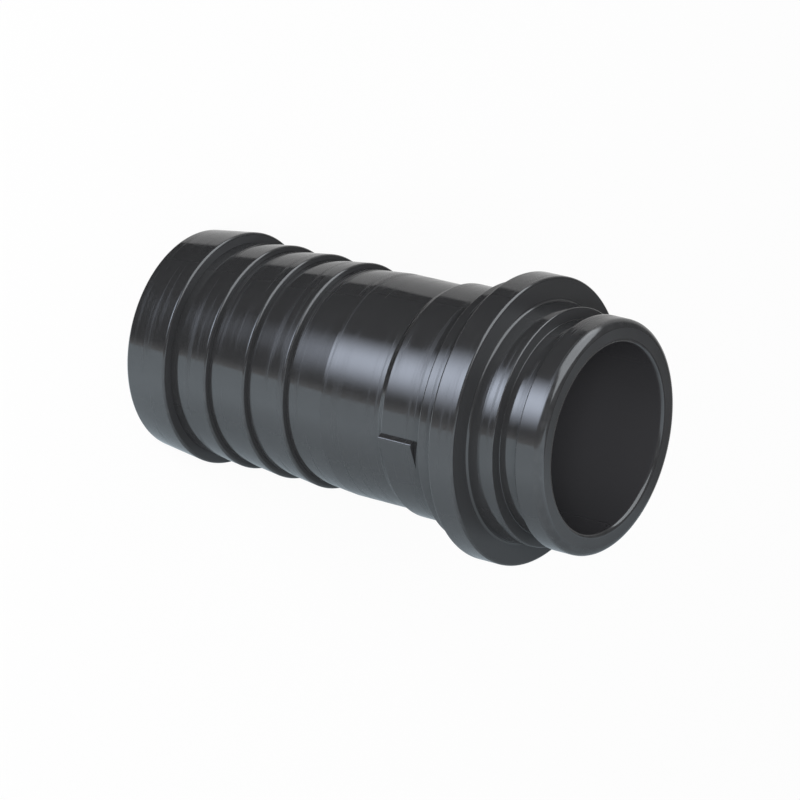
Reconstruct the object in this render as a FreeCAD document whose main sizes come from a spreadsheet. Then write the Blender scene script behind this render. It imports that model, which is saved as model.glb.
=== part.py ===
import FreeCAD, Part
import os
import Sketcher

# Hose tail for a union nut: one moulding, turned about the Z axis.
# It stands on its hose end at height zero with the nose up; the size plate faces -Y.
# Sizes are in millimetres. Radii build outwards from the waterway, heights from the hose end.

NODE = "hose_tail"

SIZES = {
    # waterway
    "bore_d": 29.0,
    "mouth_round": 0.6,
    # wall of the plain shank, which sets every other radius
    "shank_wall": 3.0,
    # barbs: root below the shank, crests above the root
    "root_drop": 0.6,
    "first_barb_rise": 1.65,
    "first_barb_taper": 1.05,
    "first_barb_len": 8.4,
    "tail_end_round": 0.5,
    "barb_rise": 0.9,
    "barb_count": 3,
    "barb_pitch": 7.55,
    "crest_round": 0.35,
    # ramp up to the shank, then the shank itself
    "lead_len": 7.05,
    "shank_len": 11.0,
    # collar, started by a short slope
    "slope_len": 1.1,
    "slope_round": 0.4,
    "collar_rise": 0.7,
    "collar_len": 8.0,
    # land that centres the nut, and the flange that the nut pulls on
    "land_rise": 1.95,
    "land_len": 3.4,
    "land_edge_round": 0.25,
    "land_foot_fillet": 0.3,
    "flange_rise": 2.0,
    "flange_thick": 4.45,
    "flange_edge_round": 0.35,
    # tapered hub in front of the flange
    "face_width": 3.65,
    "hub_taper": 0.2,
    "hub_len": 4.45,
    "hub_foot_fillet": 0.8,
    "hub_edge_round": 0.3,
    # seal groove and nose
    "nose_drop": 0.3,
    "groove_depth": 1.5,
    "groove_width": 3.8,
    "groove_corner_round": 0.3,
    "nose_len": 4.35,
    "nose_back_round": 0.2,
    "nose_front_round": 1.2,
    # flat size plate on the collar
    "plate_len": 6.0,
    "plate_reach": 6.5,
    "plate_tuck": 1.0,
    "plate_sink": 0.1,
    "plate_round": 0.3,
}

DERIVED = {
    # radii
    "bore_r": "=bore_d / 2",
    "shank_r": "=bore_r + shank_wall",
    "root_r": "=shank_r - root_drop",
    "crest_r": "=root_r + barb_rise",
    "first_crest_r": "=root_r + first_barb_rise",
    "tail_end_r": "=first_crest_r - first_barb_taper",
    "collar_r": "=shank_r + collar_rise",
    "land_r": "=collar_r + land_rise",
    "flange_r": "=land_r + flange_rise",
    "hub_foot_r": "=flange_r - face_width",
    "hub_r": "=hub_foot_r - hub_taper",
    "nose_r": "=hub_r - nose_drop",
    "groove_r": "=nose_r - groove_depth",
    "plate_y": "=collar_r - plate_sink",
    # heights
    "base_at": "=0",
    "first_crest_at": "=base_at + first_barb_len",
    "second_crest_at": "=first_crest_at + barb_pitch",
    "last_crest_at": "=first_crest_at + barb_count * barb_pitch",
    "shank_at": "=last_crest_at + lead_len",
    "slope_at": "=shank_at + shank_len",
    "collar_at": "=slope_at + slope_len",
    "land_at": "=collar_at + collar_len",
    "flange_at": "=land_at + land_len",
    "face_at": "=flange_at + flange_thick",
    "groove_at": "=face_at + hub_len",
    "nose_at": "=groove_at + groove_width",
    "front_at": "=nose_at + nose_len",
    "pattern_len": "=last_crest_at - second_crest_at",
}

os.makedirs("parts", exist_ok=True)
doc = FreeCAD.newDocument("hose_tail_part")

sheet = doc.addObject("Spreadsheet::Sheet", "Sizes")
for row, (name, content) in enumerate({**SIZES, **DERIVED}.items(), start=1):
    sheet.set("A%d" % row, name)
    sheet.set("B%d" % row, str(content))
    sheet.setAlias("B%d" % row, name)
doc.recompute()

body = doc.addObject("PartDesign::Body", "HoseTail")
body.Label = NODE
body.Placement = FreeCAD.Placement()


def size(name):
    """Value of one named cell in millimetres; a leading minus turns its sign."""
    sign = -1.0 if name.startswith("-") else 1.0
    return sign * float(sheet.get(name.lstrip("-")))


def origin_feature(role):
    """Plane or axis of the body's own origin."""
    for feature in body.Origin.OriginFeatures:
        if feature.Role == role:
            return feature
    raise RuntimeError("no origin feature " + role)


def tie(sketch, line, axis, name):
    """Bind the start of a line to a cell, as its distance from the sketch origin along one axis."""
    ends = (line, 1, -1, 1) if name.startswith("-") else (-1, 1, line, 1)
    rule = sketch.addConstraint(Sketcher.Constraint("Distance" + axis, *ends, abs(size(name))))
    sketch.setExpression("Constraints[%d]" % rule, "Sizes." + name.lstrip("-"))


def hold(sketch, line, axis):
    """Keep the start of a line on one of the sketch's own axes."""
    sketch.addConstraint(Sketcher.Constraint("PointOnObject", line, 1, axis))


def outline(name, plane, corners):
    """Closed sketch of straight lines; a corner's places are cell names, or None for on the axis."""
    sketch = body.newObject("Sketcher::SketchObject", name)
    sketch.AttachmentSupport = [(origin_feature(plane), "")]
    sketch.MapMode = "FlatFace"
    sketch.Visibility = False
    places = [[size(cell) if cell else 0.0 for cell in corner] for corner in corners]
    points = [FreeCAD.Vector(across, up, 0) for across, up in places]
    for start, end in zip(points, points[1:] + points[:1]):
        sketch.addGeometry(Part.LineSegment(start, end), False)
    for line, (across, up) in enumerate(corners):
        following = (line + 1) % len(corners)
        sketch.addConstraint(Sketcher.Constraint("Coincident", line, 2, following, 1))
        if across:
            tie(sketch, line, "X", across)
        else:
            hold(sketch, line, -2)
        if up and size(up) != 0:
            tie(sketch, line, "Y", up)
        else:
            hold(sketch, line, -1)
    return sketch


def turned(kind, name, corners):
    """Revolution or Groove of a half section, given as (radius, height) cells, about the Z axis."""
    sketch = outline(name + "Section", "XZ_Plane", corners)
    feature = body.newObject("PartDesign::" + kind, name)
    feature.Profile = sketch
    feature.ReferenceAxis = (sketch, ["V_Axis"])
    feature.Angle = 360.0
    doc.recompute()
    return feature


def rounded(name, radius_cell, edge_names):
    """Fillet of one radius on named edges of what the body holds so far."""
    base = body.Tip
    feature = body.newObject("PartDesign::Fillet", name)
    feature.Base = (base, edge_names)
    feature.setExpression("Radius", "Sizes." + radius_cell)
    doc.recompute()
    return feature


def ring_edge(radius, height):
    """Name of the round edge about the Z axis that has this radius and height."""
    for number, edge in enumerate(body.Tip.Shape.Edges, start=1):
        curve = edge.Curve
        if not isinstance(curve, Part.Circle) or abs(curve.Axis.z) < 0.999:
            continue
        if max(abs(curve.Radius - radius), abs(curve.Center.z - height)) < 1e-4:
            return "Edge%d" % number
    raise RuntimeError("no ring of radius %.3f at height %.3f" % (radius, height))


def rings(*places):
    """Names of round edges, given as (radius cell, height cell)."""
    return [ring_edge(size(radius), size(height)) for radius, height in places]


def upright_edge(x, y):
    """Name of the straight edge along Z through a point of the plan."""
    for number, edge in enumerate(body.Tip.Shape.Edges, start=1):
        ends = [vertex.Point for vertex in edge.Vertexes]
        if len(ends) == 2 and all(abs(end.x - x) < 1e-4 and abs(end.y - y) < 1e-4 for end in ends):
            return "Edge%d" % number
    raise RuntimeError("no upright edge at %.3f, %.3f" % (x, y))


# solid blank: everything but the smaller barbs, the plate, the seal groove and the waterway
turned("Revolution", "Blank", [
    (None, "base_at"),
    ("tail_end_r", "base_at"),
    ("first_crest_r", "first_crest_at"),
    ("root_r", "first_crest_at"),
    ("root_r", "last_crest_at"),
    ("shank_r", "shank_at"),
    ("shank_r", "slope_at"),
    ("collar_r", "collar_at"),
    ("collar_r", "land_at"),
    ("land_r", "land_at"),
    ("land_r", "flange_at"),
    ("flange_r", "flange_at"),
    ("flange_r", "face_at"),
    ("hub_foot_r", "face_at"),
    ("hub_r", "groove_at"),
    ("nose_r", "groove_at"),
    ("nose_r", "front_at"),
    (None, "front_at"),
])

# one smaller barb, a long ramp up to a square shoulder, and its copies
barb = turned("Revolution", "Barb", [
    ("bore_r", "first_crest_at"),
    ("root_r", "first_crest_at"),
    ("crest_r", "second_crest_at"),
    ("bore_r", "second_crest_at"),
])
barbs = body.newObject("PartDesign::LinearPattern", "Barbs")
barbs.Originals = [barb]
barbs.Direction = (origin_feature("Z_Axis"), [""])
barbs.setExpression("Length", "Sizes.pattern_len")
barbs.setExpression("Occurrences", "Sizes.barb_count")
body.Tip = barbs
doc.recompute()

rounded("SlopeRounds", "slope_round", rings(("shank_r", "slope_at"), ("collar_r", "collar_at")))

# flat plate on the collar: proud along its -X edge, it runs out into the collar past the middle
plate_section = outline("PlateSection", "XY_Plane", [
    ("-plate_reach", None),
    ("-plate_reach", "-plate_y"),
    ("plate_tuck", "-plate_y"),
    ("plate_tuck", None),
])
plate_section.setExpression("AttachmentOffset.Base.z", "Sizes.collar_at")
plate = body.newObject("PartDesign::Pad", "Plate")
plate.Profile = plate_section
plate.setExpression("Length", "Sizes.plate_len")
doc.recompute()
rounded("PlateRound", "plate_round", [upright_edge(size("-plate_reach"), size("-plate_y"))])

# seal groove between hub and nose, open to the outside
turned("Groove", "SealGroove", [
    ("groove_r", "groove_at"),
    ("flange_r", "groove_at"),
    ("flange_r", "nose_at"),
    ("groove_r", "nose_at"),
])

# waterway right through
turned("Groove", "Waterway", [
    (None, "base_at"),
    ("bore_r", "base_at"),
    ("bore_r", "front_at"),
    (None, "front_at"),
])

# moulded rounds, from the hose end to the nose
crest_rings = rings(("first_crest_r", "first_crest_at"))
for number in range(int(size("barb_count"))):
    crest_rings.append(ring_edge(size("crest_r"), size("second_crest_at") + number * size("barb_pitch")))
rounded("CrestRounds", "crest_round", crest_rings)
rounded("TailEndRound", "tail_end_round", rings(("tail_end_r", "base_at")))
rounded("LandFootFillet", "land_foot_fillet", rings(("collar_r", "land_at")))
rounded("LandEdgeRound", "land_edge_round", rings(("land_r", "land_at")))
rounded("FlangeEdgeRounds", "flange_edge_round", rings(("flange_r", "flange_at"), ("flange_r", "face_at")))
rounded("HubFootFillet", "hub_foot_fillet", rings(("hub_foot_r", "face_at")))
rounded("HubEdgeRound", "hub_edge_round", rings(("hub_r", "groove_at")))
rounded("GrooveCorners", "groove_corner_round", rings(("groove_r", "groove_at"), ("groove_r", "nose_at")))
rounded("NoseBackRound", "nose_back_round", rings(("nose_r", "nose_at")))
rounded("NoseFrontRound", "nose_front_round", rings(("nose_r", "front_at")))
rounded("MouthRounds", "mouth_round", rings(("bore_r", "base_at"), ("bore_r", "front_at")))

doc.recompute()

for item in doc.Objects:
    if "Invalid" in item.State or "Error" in item.State:
        raise RuntimeError("%s is not sound: %s" % (item.Name, item.State))
if body.Shape.isNull() or not body.Shape.isValid():
    raise RuntimeError(NODE + " has no valid shape")

body.Shape.exportStep("parts/" + NODE + ".step")
print("%s volume %.1f mm3, solids %d" % (NODE, body.Shape.Volume, len(body.Shape.Solids)))
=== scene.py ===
"""Hose tail for a union nut: one black moulding, lit and seen as in the photograph.

The moulding is turned about the Z axis and stands on its hose end. Its sizes are in millimetres
and become metres where its mesh is made. The studio's are in metres, and its angles in degrees.
"""
import logging
import math
from dataclasses import dataclass, field, replace
from enum import Enum
from typing import Any, Iterator, List, Mapping, Optional, Sequence, Tuple, Union

import bmesh
import bpy
from mathutils import Matrix, Quaternion, Vector


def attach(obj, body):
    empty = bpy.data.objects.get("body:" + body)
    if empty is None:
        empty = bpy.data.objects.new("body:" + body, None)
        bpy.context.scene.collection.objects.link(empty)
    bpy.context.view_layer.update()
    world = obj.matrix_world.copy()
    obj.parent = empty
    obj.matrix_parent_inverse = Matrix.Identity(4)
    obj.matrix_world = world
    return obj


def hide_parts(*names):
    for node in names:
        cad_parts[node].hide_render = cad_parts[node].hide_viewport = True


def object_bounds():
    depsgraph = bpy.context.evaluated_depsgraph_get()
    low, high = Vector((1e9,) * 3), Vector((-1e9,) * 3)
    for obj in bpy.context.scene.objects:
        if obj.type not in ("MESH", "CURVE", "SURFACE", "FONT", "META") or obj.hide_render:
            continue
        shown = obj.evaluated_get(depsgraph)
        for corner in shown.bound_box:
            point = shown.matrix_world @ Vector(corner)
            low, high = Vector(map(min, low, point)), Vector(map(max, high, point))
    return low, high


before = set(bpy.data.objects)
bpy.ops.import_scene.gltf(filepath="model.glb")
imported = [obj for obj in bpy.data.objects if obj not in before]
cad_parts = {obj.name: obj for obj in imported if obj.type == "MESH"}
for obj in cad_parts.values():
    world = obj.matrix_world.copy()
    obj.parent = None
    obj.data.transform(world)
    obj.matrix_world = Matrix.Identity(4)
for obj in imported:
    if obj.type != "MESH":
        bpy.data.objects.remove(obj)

CAD_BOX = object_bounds()

MM = 0.001
NODE = "hose_tail"
BODY = "root"
# Mesh attributes: outer rounds that wear and carry a painted highlight, dull faces, and the waterway
# painted paler as painted light.
EDGE_SHEEN_AND_WEAR = "edge_wear_and_sheen"
DULL = "dull"
PALE = "pale"
WELD = 1e-4
SLACK = 1e-7
PARALLEL = 1e-12

LOG = logging.getLogger(NODE)


class Signal:
    """One output socket of a shader, which Python expressions can add up, scale and compare."""

    def __init__(self, graph: "Graph", socket: bpy.types.NodeSocket) -> None:
        """Wrap a socket.

        Args:
            graph: the node tree that the socket belongs to.
            socket: an output socket of one of its nodes.
        """
        self.graph = graph
        self.socket = socket

    def _math(self, operation: str, first: "Value", second: "Value") -> "Signal":
        """Add one Math node.

        Args:
            operation: the Math node's own name for the sum.
            first: the upper operand.
            second: the lower operand.

        Returns:
            The node's result.
        """
        return self.graph.add("ShaderNodeMath", {"operation": operation}, {0: first, 1: second})

    def __add__(self, other: "Value") -> "Signal":
        """Sum of this and another value."""
        return self._math("ADD", self, other)

    def __radd__(self, other: "Value") -> "Signal":
        """Sum of another value and this."""
        return self._math("ADD", other, self)

    def __sub__(self, other: "Value") -> "Signal":
        """This less another value."""
        return self._math("SUBTRACT", self, other)

    def __rsub__(self, other: "Value") -> "Signal":
        """Another value less this."""
        return self._math("SUBTRACT", other, self)

    def __mul__(self, other: "Value") -> "Signal":
        """Product of this and another value."""
        return self._math("MULTIPLY", self, other)

    def __rmul__(self, other: "Value") -> "Signal":
        """Product of another value and this."""
        return self._math("MULTIPLY", other, self)

    def most(self, other: "Value") -> "Signal":
        """The larger of this and another value."""
        return self._math("MAXIMUM", self, other)

    def smooth(self, low: float, high: float) -> "Signal":
        """Eased step between two levels.

        Args:
            low: the level at and below which the result is 0.
            high: the level at and above which the result is 1.

        Returns:
            A value from 0 to 1.
        """
        settings = {"interpolation_type": "SMOOTHSTEP"}
        levels = {"Value": self, "From Min": low, "From Max": high, "To Min": 0.0, "To Max": 1.0}
        return self.graph.add("ShaderNodeMapRange", settings, levels)


Value = Union[float, Sequence[float], Signal]


@dataclass(frozen=True)
class Cloud:
    """A cloudy pattern: its cells per millimetre along X, Y and Z, and its finer layers."""

    cells: Tuple[float, float, float]
    detail: float


class Graph:
    """A node tree that is filled by expressions and by one method for every other node."""

    def __init__(self, tree: bpy.types.NodeTree) -> None:
        """Take over a node tree and empty it."""
        self.tree = tree
        self.tree.nodes.clear()

    def add(
        self,
        kind: str,
        settings: Optional[Mapping[str, Any]] = None,
        inputs: Optional[Mapping[Union[str, int], Value]] = None,
        output: Union[str, int, None] = 0,
    ) -> Optional[Signal]:
        """Add one node.

        Args:
            kind: the node's type.
            settings: its own properties, which are set before its sockets are.
            inputs: a number, a vector or a link for each socket that is named.
            output: the socket that the expression goes on with, or None at the tree's end.

        Returns:
            That output, if there is one.
        """
        node = self.tree.nodes.new(kind)
        for name, setting in (settings or {}).items():
            setattr(node, name, setting)
        for name, value in (inputs or {}).items():
            if isinstance(value, Signal):
                self.tree.links.new(value.socket, node.inputs[name])
            else:
                node.inputs[name].default_value = value
        return None if output is None else Signal(self, node.outputs[output])

    def blend(self, factor: Value, low: Value, high: Value) -> Signal:
        """Mix two colours, by the sockets of the Mix node that are for colours.

        Args:
            factor: 0 for the first colour, 1 for the second.
            low: the first colour, with alpha.
            high: the second colour, with alpha.

        Returns:
            The mixed colour.
        """
        return self.add("ShaderNodeMix", {"data_type": "RGBA"}, {0: factor, 6: low, 7: high}, 2)

    def noise(self, place: Signal, cloud: Cloud) -> Signal:
        """Cloudy pattern from 0 to 1.

        Args:
            place: coordinates in metres.
            cloud: the pattern.

        Returns:
            The pattern's value.
        """
        per_metre = [cells / MM for cells in cloud.cells]
        cells = self.add("ShaderNodeVectorMath", {"operation": "MULTIPLY"}, {0: place, 1: per_metre})
        layers = {"Vector": cells, "Scale": 1.0, "Detail": cloud.detail}
        return self.add("ShaderNodeTexNoise", {}, layers)

    def attribute(self, name: str) -> Signal:
        """A number that the mesh holds for each of its points."""
        return self.add("ShaderNodeAttribute", {"attribute_name": name}, output="Fac")

    def seen(self) -> Signal:
        """1 for what the camera sees straight or through clear material, otherwise 0."""
        camera = self.add("ShaderNodeLightPath", output="Is Camera Ray")
        return camera.most(self.add("ShaderNodeLightPath", output="Is Transmission Ray"))

    def split(self, vector: Signal) -> List[Signal]:
        """The X, Y and Z parts of a vector."""
        first = self.add("ShaderNodeSeparateXYZ", {}, {0: vector})
        return [Signal(self, socket) for socket in first.socket.node.outputs]


def new_material(name: str) -> Tuple[bpy.types.Material, Graph]:
    """Make an empty material.

    Args:
        name: its name.

    Returns:
        The material and its node tree.
    """
    material = bpy.data.materials.new(name)
    material.use_nodes = True
    return material, Graph(material.node_tree)


@dataclass(frozen=True)
class MouldedPlastic:
    """Glossy black plastic with faint drag marks round it and a soft ripple.

    Bands round it and the faces across its axis are duller. The outer rounds wear a little rougher
    and are tinted lighter, a painted highlight along the edges. The waterway is tinted a little
    paler, painted light against the shade in the bore, and has no marks. The depths are in
    millimetres, and an edge is the two levels of a pattern between which it goes from nothing to full.
    """

    name: str = "moulded_black_plastic"
    colour: Tuple[float, ...] = (0.028, 0.0285, 0.030, 1.0)
    # Lighter tint on the outer rounds: a painted highlight along the edges.
    edge_wear_and_sheen: Tuple[float, ...] = (0.038, 0.039, 0.041, 1.0)
    # Paler tint for the waterway: painted light that lifts the shade in the bore.
    inside: Tuple[float, ...] = (0.037, 0.037, 0.040, 1.0)
    ior: float = 1.5
    roughness: float = 0.08
    band_roughness: float = 0.22
    edge_roughness: float = 0.08
    face_roughness: float = 0.3
    mark_depth: float = 0.006
    ripple_depth: float = 0.004
    grain_depth: float = 0.00006
    marks: Cloud = Cloud((0.035, 0.035, 1.9), 4.0)
    ripple: Cloud = Cloud((0.16, 0.16, 0.22), 2.0)
    grain: Cloud = Cloud((7.0, 7.0, 7.0), 1.0)
    bands: Cloud = Cloud((0.04, 0.04, 1.3), 6.0)
    band_edge: Tuple[float, float] = (0.46, 0.70)
    wear: Cloud = Cloud((0.5, 0.5, 0.5), 3.0)
    wear_edge: Tuple[float, float] = (0.35, 0.75)

    def material(self) -> bpy.types.Material:
        """Make the finish.

        Returns:
            A material with a Principled surface.
        """
        material, graph = new_material(self.name)
        place = graph.add("ShaderNodeTexCoord", output="Object")
        # The waterway: tinted paler as painted light in the bore, and kept free of marks and bands.
        pale = graph.attribute(PALE)
        outside = 1.0 - pale
        # Outer rounds: rougher where they wear, and tinted lighter as a painted highlight.
        sheen_and_wear = graph.attribute(EDGE_SHEEN_AND_WEAR) * graph.noise(place, self.wear).smooth(*self.wear_edge)
        marks = graph.noise(place, self.marks) * outside * self.mark_depth
        ripple = graph.noise(place, self.ripple) * self.ripple_depth
        grain = graph.noise(place, self.grain) * self.grain_depth
        height = {"Strength": 1.0, "Distance": MM, "Height": marks + ripple + grain}
        bands = graph.noise(place, self.bands).smooth(*self.band_edge) * outside
        edges = sheen_and_wear * self.edge_roughness + graph.attribute(DULL) * self.face_roughness
        tone = graph.blend(sheen_and_wear, self.colour, self.edge_wear_and_sheen)
        shader = graph.add("ShaderNodeBsdfPrincipled", {}, {
            "Base Color": graph.blend(pale, tone, self.inside),
            "Roughness": self.roughness + bands * self.band_roughness + edges,
            "IOR": self.ior,
            "Normal": graph.add("ShaderNodeBump", {}, height),
        })
        graph.add("ShaderNodeOutputMaterial", {}, {"Surface": shader}, None)
        return material


@dataclass(frozen=True)
class Corner:
    """One corner of the turned section, in millimetres, with the round that is moulded on it."""

    radius: float
    height: float
    rounding: float = 0.0

    def at(self) -> Vector:
        """The corner's place in the section."""
        return Vector((self.radius, self.height))


@dataclass(frozen=True)
class Ring:
    """One ring of the mesh, in millimetres, how much it wears and carries the painted edge highlight,
    and how dull the plastic is there.
    """

    radius: float
    height: float
    edge_wear_and_sheen: float = 0.0
    dull: float = 0.0
    plate: bool = False


@dataclass
class SizePlate:
    """Flat plate on the collar, proud along its -X edge and lost in the collar past the middle.

    Its face is parallel to the axis, and sunk a little under the collar's outermost line.
    """

    length: float = 6.0
    reach: float = 6.5
    sink: float = 0.1
    rounding: float = 0.4
    steps: int = 4

    def plan(self, collar: float) -> List[Vector]:
        """Edge of the plate seen along Z, from its -X side round to where it is lost.

        Args:
            collar: radius of the collar that carries it.

        Returns:
            Points of the outline.
        """
        face = -(collar - self.sink)
        centre = Vector((self.rounding - self.reach, face + self.rounding))
        foot = -math.sqrt(collar ** 2 - self.reach ** 2)
        turn = [math.pi + math.pi / 2 * step / self.steps for step in range(self.steps + 1)]
        arc = [centre + self.rounding * Vector((math.cos(angle), math.sin(angle))) for angle in turn]
        lost = -math.sqrt(collar ** 2 - face ** 2)
        return [Vector((-self.reach, foot)), *arc, Vector((lost, face))]

    def reach_at(self, angle: float, plan: Sequence[Vector]) -> float:
        """How far the plate reaches from the axis.

        Args:
            angle: direction seen along Z, in radians.
            plan: the plate's outline.

        Returns:
            The distance in millimetres, or 0 where the plate isn't.
        """
        aim = Vector((math.cos(angle), math.sin(angle)))
        for start, end in zip(plan, plan[1:]):
            side = end - start
            across = aim.cross(side)
            if abs(across) < PARALLEL:
                continue
            along = start.cross(aim) / across
            if -SLACK <= along <= 1 + SLACK:
                return (start + side * along).dot(aim)
        return 0.0


@dataclass
class HoseTail:
    """The moulding: barbed hose end, plain shank, collar, land, flange, hub and nose.

    Radii are worked out from the bore outwards, and heights from the hose end up. The last four
    fields are for the mesh: its columns, the widest step of a round, how close to a round the
    straight stretch stays flat, and the angle from which an edge is sharp.
    """

    bore: float = 14.5
    mouth_round: float = 0.6
    wall: float = 3.0
    root_drop: float = 0.6
    first_barb_rise: float = 1.65
    first_barb_taper: float = 1.05
    first_barb_len: float = 8.4
    tail_end_round: float = 0.5
    barb_rise: float = 0.9
    barb_count: int = 3
    barb_pitch: float = 7.55
    crest_round: float = 0.35
    lead_len: float = 7.05
    shank_len: float = 11.0
    slope_len: float = 1.1
    slope_round: float = 0.4
    collar_rise: float = 0.7
    collar_len: float = 8.0
    land_rise: float = 1.95
    land_len: float = 3.4
    land_edge_round: float = 0.25
    land_foot_round: float = 0.3
    flange_rise: float = 2.0
    flange_thick: float = 4.45
    flange_edge_round: float = 0.35
    face_width: float = 3.65
    hub_taper: float = 0.2
    hub_len: float = 4.45
    hub_foot_round: float = 0.4
    hub_edge_round: float = 0.2
    nose_drop: float = 0.3
    groove_depth: float = 1.5
    groove_width: float = 3.8
    groove_round: float = 0.12
    nose_len: float = 4.35
    nose_back_round: float = 0.2
    nose_front_round: float = 1.2
    plate: SizePlate = field(default_factory=SizePlate)
    finish: MouldedPlastic = MouldedPlastic()
    columns: int = 360
    arc_step: float = math.radians(15.0)
    keep_flat: float = 0.05
    crease: float = math.radians(28.0)

    @property
    def shank(self) -> float:
        """Radius of the plain shank."""
        return self.bore + self.wall

    @property
    def collar(self) -> float:
        """Radius of the collar."""
        return self.shank + self.collar_rise

    @property
    def collar_start(self) -> float:
        """Height at which the collar has its full size."""
        barbs = self.first_barb_len + self.barb_count * self.barb_pitch
        return barbs + self.lead_len + self.shank_len + self.slope_len

    def barbs(self) -> Iterator[Corner]:
        """Corners from the hose end to the start of the shank.

        Returns:
            The corners, going up.
        """
        root = self.shank - self.root_drop
        first = root + self.first_barb_rise
        height = self.first_barb_len
        yield Corner(first - self.first_barb_taper, 0.0, self.tail_end_round)
        yield Corner(first, height, self.crest_round)
        for _ in range(self.barb_count):
            yield Corner(root, height)
            height += self.barb_pitch
            yield Corner(root + self.barb_rise, height, self.crest_round)
        yield Corner(root, height)
        yield Corner(self.shank, height + self.lead_len)

    def coupling(self) -> Iterator[Corner]:
        """Corners from the end of the shank to the mouth.

        Returns:
            The corners, going up.
        """
        land = self.collar + self.land_rise
        flange = land + self.flange_rise
        hub_foot = flange - self.face_width
        hub = hub_foot - self.hub_taper
        nose = hub - self.nose_drop
        groove = nose - self.groove_depth
        land_at = self.collar_start + self.collar_len
        flange_at = land_at + self.land_len
        face_at = flange_at + self.flange_thick
        groove_at = face_at + self.hub_len
        nose_at = groove_at + self.groove_width
        front = nose_at + self.nose_len
        yield Corner(self.shank, self.collar_start - self.slope_len, self.slope_round)
        yield Corner(self.collar, self.collar_start, self.slope_round)
        yield Corner(self.collar, land_at, self.land_foot_round)
        yield Corner(land, land_at, self.land_edge_round)
        yield Corner(land, flange_at)
        yield Corner(flange, flange_at, self.flange_edge_round)
        yield Corner(flange, face_at, self.flange_edge_round)
        yield Corner(hub_foot, face_at, self.hub_foot_round)
        yield Corner(hub, groove_at, self.hub_edge_round)
        yield Corner(groove, groove_at, self.groove_round)
        yield Corner(groove, nose_at, self.groove_round)
        yield Corner(nose, nose_at, self.nose_back_round)
        yield Corner(nose, front, self.nose_front_round)
        yield Corner(self.bore, front, self.mouth_round)

    def turn(self, before: Corner, corner: Corner, after: Corner) -> List[Ring]:
        """Rings that round one corner off.

        Args:
            before: the corner below.
            corner: the corner itself.
            after: the corner above.

        Returns:
            The rings of its arc, or the bare corner where it has no round.
        """
        come = (before.at() - corner.at()).normalized()
        go = (after.at() - corner.at()).normalized()
        opening = come.angle(go)
        if corner.rounding == 0:
            return [Ring(corner.radius, corner.height)]
        inward = (come + go).normalized()
        centre = corner.at() + inward * (corner.rounding / math.sin(opening / 2))
        sweep = math.pi - opening
        outer = come.cross(go) < 0
        side = 1.0 if outer else -1.0
        steps = max(2, math.ceil(sweep / self.arc_step))
        rings = []
        for step in range(steps + 1):
            spoke = Vector((-come.y, come.x)) * side
            spoke.rotate(Matrix.Rotation(side * sweep * step / steps, 2))
            place = centre + spoke * corner.rounding
            # The inner rings of an outer round wear and carry the painted edge highlight.
            rings.append(Ring(place.x, place.y, float(outer and 0 < step < steps)))
        return rings

    def section(self) -> List[Ring]:
        """The whole closed section, with rings that keep the straight stretches flat.

        Returns:
            The rings in order, from the mouth of the hose end up the outside and down the bore.
        """
        corners = [Corner(self.bore, 0.0, self.mouth_round), *self.barbs(), *self.coupling()]
        count = len(corners)
        arcs = [
            self.turn(corners[number - 1], corners[number], corners[(number + 1) % count])
            for number in range(count)
        ]
        rings: List[Ring] = []
        for arc, following in zip(arcs, [*arcs[1:], arcs[0]]):
            rings += [*arc, *self.flat(arc[-1], following[0])]
        return rings

    def flat(self, start: Ring, end: Ring) -> List[Ring]:
        """Rings just inside both ends of a straight stretch.

        Args:
            start: the ring that it starts from.
            end: the ring that it goes to.

        Returns:
            The rings between, none on a short stretch.
        """
        across = end.radius - start.radius
        up = end.height - start.height
        length = math.hypot(across, up)
        if length < 4 * self.keep_flat:
            return []
        dull = 1.0 if abs(up) < self.keep_flat else 0.0
        rings = []
        for share in (self.keep_flat / length, 1 - self.keep_flat / length):
            rings.append(Ring(start.radius + across * share, start.height + up * share, 0.0, dull))
        return rings

    def with_plate(self, rings: Sequence[Ring]) -> List[Ring]:
        """Mark the rings that carry the plate, and double those at its two ends.

        Args:
            rings: the section's rings.

        Returns:
            The rings with the plate's ends among them.
        """
        low = self.collar_start
        high = low + self.plate.length
        made: List[Ring] = []
        for ring, following in zip(rings, [*rings[1:], rings[0]]):
            outside = min(ring.radius, following.radius) > self.bore + self.wall / 2
            carries = outside and low - SLACK <= ring.height <= high + SLACK
            made.append(replace(ring, plate=carries))
            for level in (low, high):
                if outside and ring.height < level < following.height:
                    share = (level - ring.height) / (following.height - ring.height)
                    radius = ring.radius + (following.radius - ring.radius) * share
                    pair = [Ring(radius, level), Ring(radius, level, plate=True)]
                    made += pair if level == low else pair[::-1]
        return made

    def angles(self, plan: Sequence[Vector]) -> List[float]:
        """Directions of the mesh's columns: even ones, and those of the plate's corners.

        A corner takes the place of an even one within a quarter of their spacing.

        Args:
            plan: the plate's outline.

        Returns:
            The directions in radians, going round once.
        """
        even = [2 * math.pi * number / self.columns - math.pi for number in range(self.columns)]
        corners = [math.atan2(point.y, point.x) for point in plan]
        near = math.pi / self.columns / 2
        kept = [angle for angle in even if all(abs(angle - corner) > near for corner in corners)]
        return sorted([*kept, *corners])

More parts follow.
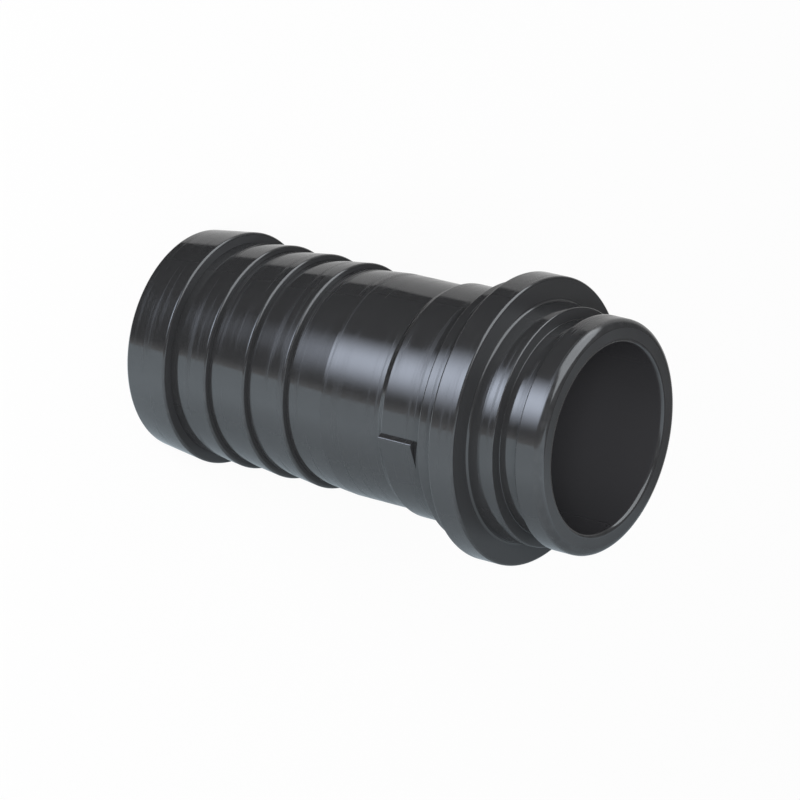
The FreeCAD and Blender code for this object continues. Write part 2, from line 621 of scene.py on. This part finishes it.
    def build(self) -> bpy.types.Object:
        """Make the moulding as one closed mesh.

        Returns:
            The object, dressed, riding on its body and standing for the CAD node.
        """
        plan = self.plate.plan(self.collar)
        angles = self.angles(plan)
        proud = [self.plate.reach_at(angle, plan) for angle in angles]
        rings = self.with_plate(self.section())
        points = []
        for ring in rings:
            for angle, plate in zip(angles, proud):
                radius = max(ring.radius, plate) if ring.plate else ring.radius
                place = Vector((math.cos(angle), math.sin(angle), 0.0)) * radius
                points.append((place + Vector((0.0, 0.0, ring.height))) * MM)
        mesh = bpy.data.meshes.new("moulding")
        mesh.from_pydata(points, [], self.faces(len(rings), len(angles)))
        self.mark(mesh, rings, len(angles))
        self.clean(mesh)
        return self.dress(bpy.data.objects.new("moulding", mesh))

    def faces(self, high: int, wide: int) -> List[Tuple[int, ...]]:
        """Faces between neighbouring rings, of which the last one joins the first.

        Args:
            high: how many rings the mesh has.
            wide: how many points each ring has.

        Returns:
            The point numbers of each face.
        """
        made = []
        for row in range(high):
            low, top = row * wide, (row + 1) % high * wide
            for column in range(wide):
                beside = (column + 1) % wide
                made.append((low + column, low + beside, top + beside, top + column))
        return made

    def mark(self, mesh: bpy.types.Mesh, rings: Sequence[Ring], wide: int) -> None:
        """Write on the mesh where the outer rounds wear and carry the painted highlight, where the
        plastic is dull, and where the waterway is painted paler.

        Args:
            mesh: the mesh, which is changed.
            rings: its rings.
            wide: how many points each ring has.
        """
        levels = {
            EDGE_SHEEN_AND_WEAR: [ring.edge_wear_and_sheen for ring in rings],
            DULL: [ring.dull for ring in rings],
            PALE: [float(ring.radius < self.bore + self.keep_flat) for ring in rings],
        }
        for name, by_ring in levels.items():
            by_point = [level for level in by_ring for _ in range(wide)]
            mesh.attributes.new(name, "FLOAT", "POINT").data.foreach_set("value", by_point)

    def clean(self, mesh: bpy.types.Mesh) -> None:
        """Weld what coincides, face the surface outwards and crease the sharp edges.

        Args:
            mesh: the mesh to clean, which is changed.
        """
        shape = bmesh.new()
        shape.from_mesh(mesh)
        bmesh.ops.remove_doubles(shape, verts=shape.verts, dist=WELD * MM)
        bmesh.ops.dissolve_degenerate(shape, edges=shape.edges, dist=WELD * MM)
        bmesh.ops.recalc_face_normals(shape, faces=shape.faces)
        for face in shape.faces:
            face.smooth = True
        shape.to_mesh(mesh)
        shape.free()
        mesh.set_sharp_from_angle(angle=self.crease)

    def dress(self, piece: bpy.types.Object) -> bpy.types.Object:
        """Give the moulding its finish and its place in the frame.

        Args:
            piece: the moulding.

        Returns:
            The same object.
        """
        bpy.context.scene.collection.objects.link(piece)
        piece.data.materials.append(self.finish.material())
        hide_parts(NODE)
        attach(piece, BODY)
        return piece


class Reach(Enum):
    """What a lamp lights: only the gloss, or only the plastic's own colour."""

    GLOSS = "gloss"
    COLOUR = "colour"


@dataclass(frozen=True)
class Softbox:
    """A lamp, placed by its direction from the middle of the moulding, that fades to its edges.

    The fade takes up the share of its width and of its height that soft says.
    """

    name: str
    azimuth: float
    elevation: float
    brightness: float
    width: float
    height: float
    reach: Reach = Reach.GLOSS
    soft: float = 0.15
    roll: float = 0.0
    distance: float = 0.7
    colour: Tuple[float, float, float] = (1.0, 1.0, 1.0)

    def build(self, target: Vector) -> bpy.types.Object:
        """Hang the lamp.

        Args:
            target: the point it faces.

        Returns:
            The lamp.
        """
        lamp = bpy.data.lights.new(self.name, "AREA")
        lamp.shape = "RECTANGLE"
        lamp.size = self.width
        lamp.size_y = self.height
        lamp.energy = self.brightness * math.pi * self.width * self.height
        lamp.color = self.colour
        self.fade(lamp)
        light = bpy.data.objects.new(self.name, lamp)
        out = direction(self.azimuth, self.elevation)
        light.location = target + out * self.distance
        light.rotation_mode = "QUATERNION"
        spin = Quaternion((0.0, 0.0, 1.0), math.radians(self.roll))
        light.rotation_quaternion = out.to_track_quat("Z", "Y") @ spin
        light.visible_camera = False
        light.visible_glossy = self.reach is Reach.GLOSS
        light.visible_diffuse = self.reach is Reach.COLOUR
        bpy.context.scene.collection.objects.link(light)
        return light

    def fade(self, lamp: bpy.types.AreaLight) -> None:
        """Let the brightness fall off towards the lamp's edges.

        Args:
            lamp: the lamp, which is given a shader.
        """
        lamp.use_nodes = True
        graph = Graph(lamp.node_tree)
        across, up = graph.split(graph.add("ShaderNodeNewGeometry", output="Parametric"))[:2]
        glow = graph.add("ShaderNodeEmission", {}, {"Color": self.hump(across) * self.hump(up)})
        graph.add("ShaderNodeOutputLight", {}, {"Surface": glow}, None)

    def hump(self, along: Signal) -> Signal:
        """Full brightness in the middle of the lamp, and none at either edge."""
        return along.smooth(0.0, self.soft) * (1.0 - along.smooth(1.0 - self.soft, 1.0))


def direction(azimuth: float, elevation: float) -> Vector:
    """Unit vector towards a direction.

    Args:
        azimuth: degrees from +X towards +Y.
        elevation: degrees above the floor.

    Returns:
        The vector.
    """
    turn, rise = math.radians(azimuth), math.radians(elevation)
    return Vector((math.cos(turn) * math.cos(rise), math.sin(turn) * math.cos(rise), math.sin(rise)))


def flat_piece(
    name: str, shape: bmesh.types.BMesh, material: bpy.types.Material
) -> bpy.types.Object:
    """Turn a flat shape into an object of the studio.

    Args:
        name: the object's name.
        shape: the shape, which is freed.
        material: what it is made of.

    Returns:
        The object.
    """
    mesh = bpy.data.meshes.new(name)
    shape.to_mesh(mesh)
    shape.free()
    mesh.materials.append(material)
    piece = bpy.data.objects.new(name, mesh)
    bpy.context.scene.collection.objects.link(piece)
    return piece


@dataclass
class Studio:
    """White floor, soft lamps, and the pale table and room that the gloss shows.

    The photographed moulding lies on its side and this one stands. So the key lamp is below it
    and the table is upright beside it. The floor keeps the soft shadow, and lets the lamps and
    the reflections through.

    A light of 1 is white. Of a pair, the first is where a shade starts to change and the second
    where it is done: degrees from the camera's side for the dark, the haze and the front, metres
    for the table's shadow, and the sine of the height for the walls.
    """

    target: Vector
    facing: float
    floor_radius: float = 3.0
    floor_colour: Tuple[float, ...] = (0.86, 0.86, 0.86, 1.0)
    floor_white: float = 0.94
    fill: float = 0.42
    wall_light: float = 0.70
    ceiling_light: float = 0.13
    wall_fade: Tuple[float, float] = (0.0, 0.35)
    dark_light: float = 0.03
    dark_start: Tuple[float, float] = (-84.5, -81.5)
    dark_lean: float = 49.0
    haze_light: float = 1.3
    haze_start: Tuple[float, float] = (12.0, 34.0)
    front_end: Tuple[float, float] = (60.0, 90.0)
    table_side: float = 113.5
    table_gap: float = 0.0222
    table_reach: float = 1.5
    table_colour: Tuple[float, float, float] = (0.86, 1.0, 1.10)
    table_back: float = 0.03
    table_light: float = 1.6
    table_dark: float = 0.5
    table_front: Tuple[float, float] = (0.001, 0.062)
    table_end: Tuple[float, float] = (0.036, 0.09)

    def lamps(self) -> Iterator[Softbox]:
        """The lamps.

        Returns:
            Each lamp, placed round the side that the camera sees.
        """
        yield Softbox(
            name="key",
            azimuth=self.facing - 17.0,
            elevation=-25.0,
            brightness=10.6,
            width=0.63,
            height=0.744,
            soft=0.48,
            roll=12.0,
            colour=(0.76, 0.84, 1.0),
        )
        yield Softbox(
            name="side",
            azimuth=self.facing - 76.0,
            elevation=26.0,
            brightness=4.3,
            width=1.0,
            height=1.5,
            colour=(0.90, 0.95, 1.0),
        )
        yield Softbox(
            name="fill",
            azimuth=self.facing,
            elevation=41.0,
            brightness=11.2,
            width=0.5,
            height=0.5,
            reach=Reach.COLOUR,
            distance=0.8,
        )

    def floor(self) -> bpy.types.Object:
        """Lay the floor.

        Returns:
            The floor.
        """
        shape = bmesh.new()
        bmesh.ops.create_circle(shape, cap_ends=True, segments=96, radius=self.floor_radius)
        floor = flat_piece("floor", shape, self.floor_finish())
        floor.visible_glossy = False
        floor.visible_shadow = False
        return floor

    def floor_finish(self) -> bpy.types.Material:
        """Make the floor's material, white to the camera apart from the shadow.

        Returns:
            The material.
        """
        material, graph = new_material("floor")
        matt = graph.add("ShaderNodeBsdfDiffuse", {}, {"Color": self.floor_colour})
        white = graph.add("ShaderNodeEmission", {}, {"Color": (1.0, 1.0, 1.0, 1.0), "Strength": 1.0})
        shown = graph.seen() * self.floor_white
        mixed = graph.add("ShaderNodeMixShader", {}, {0: shown, 1: matt, 2: white})
        graph.add("ShaderNodeOutputMaterial", {}, {"Surface": mixed}, None)
        return material

    def table(self) -> bpy.types.Object:
        """Stand the pale table beside the moulding, for the gloss alone.

        Returns:
            The table.
        """
        down = direction(self.facing + self.table_side, 0.0)
        forward = Matrix.Translation((self.table_reach - self.table_back, 0.0, 0.0))
        shape = bmesh.new()
        bmesh.ops.create_grid(shape, x_segments=1, y_segments=1, size=self.table_reach, matrix=forward)
        table = flat_piece("table", shape, self.table_finish())
        table.rotation_mode = "QUATERNION"
        table.rotation_quaternion = (-down).to_track_quat("Z", "Y")
        table.location = Vector((0.0, 0.0, self.target.z)) + down * self.table_gap
        table.visible_camera = False
        table.visible_diffuse = False
        table.visible_shadow = False
        table.visible_transmission = False
        return table

    def table_finish(self) -> bpy.types.Material:
        """Make the table's material, dark where the moulding keeps the light off it.

        Returns:
            The material.
        """
        material, graph = new_material("table")
        across, along = graph.split(graph.add("ShaderNodeTexCoord", output="Object"))[:2]
        aside = along.most(0.0 - along)
        shadow = (1.0 - across.smooth(*self.table_front)) * (1.0 - aside.smooth(*self.table_end))
        light = self.table_light - shadow * (self.table_light - self.table_dark)
        tint = {0: self.table_colour, "Scale": light}
        lit = graph.add("ShaderNodeVectorMath", {"operation": "SCALE"}, tint)
        glow = graph.add("ShaderNodeEmission", {}, {"Color": lit})
        graph.add("ShaderNodeOutputMaterial", {}, {"Surface": glow}, None)
        material.cycles.emission_sampling = "NONE"
        return material

    def room(self) -> None:
        """Light the room: white where it is seen, a plain fill, and its own shades in the gloss."""
        scene = bpy.context.scene
        scene.world = bpy.data.worlds.new("room")
        scene.world.use_nodes = True
        graph = Graph(scene.world.node_tree)
        seen = graph.seen()
        gloss = graph.add("ShaderNodeLightPath", output="Is Glossy Ray")
        level = seen + gloss * self.surround(graph) + (1.0 - seen.most(gloss)) * self.fill
        light = graph.add("ShaderNodeBackground", {}, {"Color": level})
        graph.add("ShaderNodeOutputWorld", {}, {"Surface": light}, None)

    def surround(self, graph: Graph) -> Signal:
        """How bright the room is in each direction, as the gloss shows it.

        Args:
            graph: the world's node tree.

        Returns:
            The brightness, 1 for white.
        """
        aim = graph.add("ShaderNodeTexCoord", output="Generated")
        turned = graph.add("ShaderNodeVectorRotate", {"rotation_type": "Z_AXIS"}, {
            "Vector": aim,
            "Angle": -math.radians(self.facing),
        })
        ahead, left, up = graph.split(turned)
        azimuth = graph.add("ShaderNodeMath", {"operation": "ARCTAN2"}, {0: left, 1: ahead})
        degrees = azimuth * math.degrees(1.0)
        front = 1.0 - degrees.smooth(*self.front_end)
        dark = (degrees - up * self.dark_lean).smooth(*self.dark_start) * front
        haze = degrees.smooth(*self.haze_start) * front
        wall = self.wall_light - up.smooth(*self.wall_fade) * (self.wall_light - self.ceiling_light)
        return wall * (1.0 - dark) + dark * self.dark_light + haze * self.haze_light

    def build(self) -> None:
        """Set up the floor, the table, the room and the lamps."""
        self.floor()
        self.table()
        self.room()
        for lamp in self.lamps():
            lamp.build(self.target)
            LOG.info("lamp %s", lamp.name)


@dataclass(frozen=True)
class PhotoCamera:
    """The photograph's camera: its direction from the moulding, its roll and its lens.

    Its hose_end is where it sees the middle of the hose end, in millimetres: so far to the right
    of the picture's middle, so far down and so far away.
    """

    azimuth: float = -134.3
    elevation: float = 34.513
    roll: float = 13.862
    lens: float = 190.911
    sensor: float = 36.0
    hose_end: Tuple[float, float, float] = (-32.017, -9.766, 672.309)

    def build(self) -> bpy.types.Object:
        """Place the camera.

        Returns:
            The camera.
        """
        back = direction(self.azimuth, self.elevation)
        level = direction(self.azimuth + 90.0, 0.0)
        rise = back.cross(level)
        cosine, sine = math.cos(math.radians(self.roll)), math.sin(math.radians(self.roll))
        right = rise * cosine - level * sine
        up = -rise * sine - level * cosine
        across, down, away = (length * MM for length in self.hose_end)
        data = bpy.data.cameras.new("photo_camera")
        data.lens = self.lens
        data.sensor_width = self.sensor
        data.clip_start, data.clip_end = 0.01, 50.0
        camera = bpy.data.objects.new("photo_camera", data)
        turn = Matrix((right, up, back)).transposed()
        camera.matrix_world = turn.to_4x4()
        camera.location = -right * across + up * down + back * away
        bpy.context.scene.collection.objects.link(camera)
        bpy.context.scene.camera = camera
        return camera


def main() -> None:
    """Build the moulding, its studio and the camera."""
    logging.basicConfig(level=logging.INFO, format="%(name)s: %(message)s")
    scene = bpy.context.scene
    scene.view_settings.view_transform = "Standard"
    tail = HoseTail()
    piece = tail.build()
    LOG.info("%s: %d faces", piece.name, len(piece.data.polygons))
    camera = PhotoCamera()
    low, high = CAD_BOX
    Studio((low + high) / 2, camera.azimuth).build()
    camera.build()
    LOG.info("camera and studio set")


if __name__ == "__main__":
    main()
